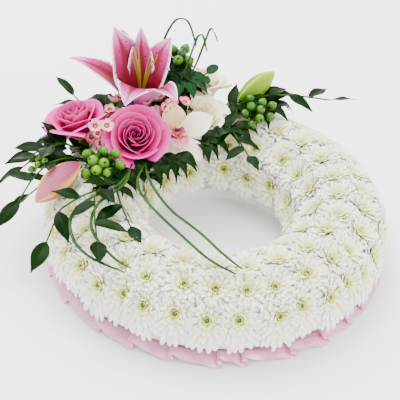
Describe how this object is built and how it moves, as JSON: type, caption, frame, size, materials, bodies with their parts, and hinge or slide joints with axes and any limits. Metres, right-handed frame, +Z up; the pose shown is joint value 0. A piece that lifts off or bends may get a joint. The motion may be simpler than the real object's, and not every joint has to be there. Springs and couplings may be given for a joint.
{
  "type": "massed flower wreath",
  "caption": "Round funeral wreath: a foam ring massed with white flower heads, a pleated satin edge and a mixed spray of blooms at one side.",
  "frame": {"origin": "middle of the ground that the whole wreath covers, on the plane that its base rests on", "axes": "+Z up out of the flat ring; the spray of blooms is at the ring's -X +Y side; -Y is the side nearest the viewer"},
  "size_m": [0.5076, 0.452, 0.2515],
  "materials": {
    "foam_board": "white expanded polystyrene board",
    "floral_foam": "dark green soaked floral foam",
    "pink_satin": "pale pink satin ribbon, pleated",
    "white_petal": "white chrysanthemum petals with a yellow-green heart",
    "pink_rose_petal": "pink rose petals",
    "cream_petal": "cream petals",
    "lily_tepal": "pink lily tepals with a pale edge",
    "lily_filament": "green-gold filaments",
    "orchid_lip": "spotted dark pink orchid lip",
    "green_stem": "fresh green stem",
    "pink_bud": "pink bud with green ribs",
    "green_bud": "green bud",
    "berry_skin": "waxy green berry skin",
    "waxflower_petal": "small pink cups",
    "grass_blade": "fresh grass blade",
    "dark_leaf": "glossy dark leaf",
    "grey_leaf": "dull grey-green leaf"
  },
  "bodies": {
    "root": {"base_ring": "foam_board", "foam_ring": "floral_foam", "ribbon_skirt": "pink_satin", "massed_heads_01_outer": "white_petal", "massed_heads_01_inner": "white_petal", "massed_heads_02_outer": "white_petal", "massed_heads_02_inner": "white_petal", "massed_heads_03": "white_petal", "massed_heads_04": "white_petal", "massed_heads_05": "white_petal", "massed_heads_06": "white_petal", "massed_heads_07": "white_petal", "massed_heads_08": "white_petal", "massed_heads_09": "white_petal", "rose_pink_front": "pink_rose_petal", "rose_pink_front_stem": "green_stem", "rose_pink_left": "pink_rose_petal", "rose_pink_left_stem": "green_stem", "rose_white_front": "cream_petal", "rose_white_front_stem": "green_stem", "rose_white_back": "cream_petal", "rose_white_back_stem": "green_stem", "lily_tepals": "lily_tepal", "lily_stamens": "lily_filament", "lily_stem": "green_stem", "orchid_tepals": "cream_petal", "orchid_lip": "orchid_lip", "orchid_stem": "green_stem", "lily_bud_pink": "pink_bud", "lily_bud_green": "green_bud", "berries_front": "berry_skin", "berries_top": "berry_skin", "berries_right": "berry_skin", "berries_left": "berry_skin", "waxflower_left": "waxflower_petal", "waxflower_middle": "waxflower_petal", "grass_top": "grass_blade", "grass_front_left": "grass_blade", "grass_front_right": "grass_blade", "large_leaves": "dark_leaf", "eucalyptus": "grey_leaf", "ruscus_01": "dark_leaf", "ruscus_02": "dark_leaf", "ruscus_03": "dark_leaf", "ruscus_04": "dark_leaf", "ruscus_05": "dark_leaf", "ruscus_06": "dark_leaf", "ruscus_07": "dark_leaf", "ruscus_08": "dark_leaf", "ruscus_09": "dark_leaf", "ruscus_10": "dark_leaf", "ruscus_11": "dark_leaf", "ruscus_12": "dark_leaf", "ruscus_13": "dark_leaf", "ruscus_14": "dark_leaf", "ruscus_15": "dark_leaf"}
  },
  "joints": []
}
